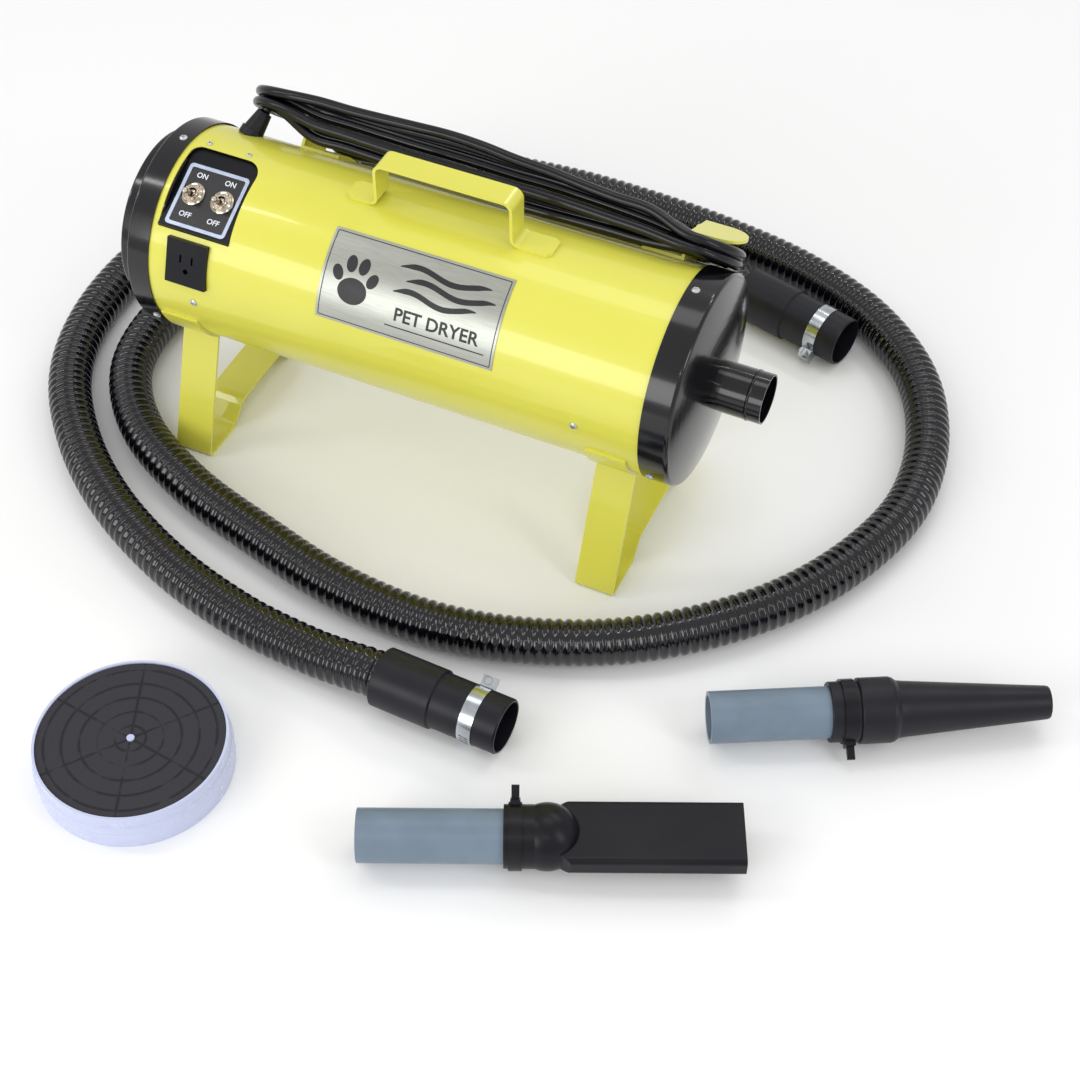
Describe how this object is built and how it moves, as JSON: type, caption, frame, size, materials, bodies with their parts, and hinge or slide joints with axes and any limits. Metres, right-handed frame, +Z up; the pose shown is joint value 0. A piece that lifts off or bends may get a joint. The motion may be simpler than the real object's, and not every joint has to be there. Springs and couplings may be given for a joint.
{
  "type": "pet dryer",
  "caption": "Forced-air pet dryer: steel drum on strap legs with toggles, wound cord, long ribbed hose, cone and flat nozzles and a push-on intake filter.",
  "frame": {"origin": "centre of the outlet spout's mouth, on the drum's axis", "axes": "+X along the drum and out of the outlet, -Y towards the front with the switches, +Z up"},
  "size_m": [1.1293, 1.0234, 0.363],
  "materials": {
    "yellow_enamel": "gloss",
    "black_enamel": "gloss",
    "brushed_label": "brushed",
    "black_plastic": "satin",
    "panel_print": "brushed",
    "nickel": "polished",
    "zinc_steel": "satin",
    "brass": "satin",
    "black_rubber": "matte",
    "galvanised": "satin",
    "aluminium": "satin",
    "motor_steel": "satin",
    "hose_vinyl": "gloss",
    "stainless": "polished",
    "cord_jacket": "satin",
    "grey_pvc": "satin",
    "filter_plastic": "translucent",
    "filter_foam": "matte"
  },
  "bodies": {
    "dryer": {"drum_shell": "yellow_enamel", "left_end_cap": "black_enamel", "intake_grille": "black_enamel", "right_end_cap": "black_enamel", "outlet_spout": "black_enamel", "carry_handle": "yellow_enamel", "left_leg": "yellow_enamel", "right_leg": "yellow_enamel", "left_cord_hook": "yellow_enamel", "right_cord_hook": "yellow_enamel", "label_plate": "brushed_label", "switch_panel": "black_plastic", "switch_faceplate": "panel_print", "switch_bodies": "black_plastic", "switch_nuts": "nickel", "receptacle": "black_plastic", "receptacle_contacts": "brass", "strain_relief": "black_rubber", "cap_screws": "zinc_steel", "drum_screws": "zinc_steel", "panel_screws": "zinc_steel", "bulkhead_1": "galvanised", "fan_case_1": "galvanised", "motor_bracket_1": "galvanised", "stator_1": "motor_steel", "bearings_1": "motor_steel", "brush_holders_1": "brass", "bulkhead_2": "galvanised", "fan_case_2": "galvanised", "motor_bracket_2": "galvanised", "stator_2": "motor_steel", "bearings_2": "motor_steel", "brush_holders_2": "brass", "hose": "hose_vinyl", "cuff_a": "black_rubber", "cuff_b": "black_rubber", "clamp_a": "stainless", "clamp_b": "stainless", "clamp_screws": "stainless", "cord_lead": "cord_jacket", "cord_hank": "cord_jacket", "cord_tail": "cord_jacket", "cord_plug": "cord_jacket", "plug_blades": "brass"},
    "toggle_1": {"toggle_lever_1": "nickel"},
    "toggle_2": {"toggle_lever_2": "nickel"},
    "rotor_1": {"armature_1": "motor_steel", "impeller_1": "aluminium"},
    "rotor_2": {"armature_2": "motor_steel", "impeller_2": "aluminium"},
    "cone_nozzle": {"cone_pipe": "grey_pvc", "cone_body": "black_rubber", "cone_clamp": "black_plastic"},
    "flat_nozzle": {"flat_pipe": "grey_pvc", "flat_body": "black_plastic", "flat_clamp": "black_plastic"},
    "filter": {"filter_cup": "filter_plastic", "filter_foam": "filter_foam"}
  },
  "joints": [
    {"name": "toggle_1_hinge", "type": "hinge", "parent": "dryer", "child": "toggle_1", "pos_m": [-0.5744, -0.0492, 0.08335], "axis": [-1, 0, 0], "range_deg": [0, 32]},
    {"name": "toggle_2_hinge", "type": "hinge", "parent": "dryer", "child": "toggle_2", "pos_m": [-0.5424, -0.0492, 0.08335], "axis": [-1, 0, 0], "range_deg": [0, 32]},
    {"name": "rotor_1_spin", "type": "hinge", "parent": "dryer", "child": "rotor_1", "pos_m": [-0.4254, 0, 0], "axis": [1, 0, 0], "continuous": true},
    {"name": "rotor_2_spin", "type": "hinge", "parent": "dryer", "child": "rotor_2", "pos_m": [-0.2154, 0, 0], "axis": [1, 0, 0], "continuous": true},
    {"name": "cone_nozzle_lift", "type": "slide", "parent": "dryer", "child": "cone_nozzle", "axis": [0, 0, 1], "range_m": [0, 0.3]},
    {"name": "flat_nozzle_lift", "type": "slide", "parent": "dryer", "child": "flat_nozzle", "axis": [0, 0, 1], "range_m": [0, 0.3]},
    {"name": "filter_lift", "type": "slide", "parent": "dryer", "child": "filter", "axis": [0, 0, 1], "range_m": [0, 0.3]}
  ]
}
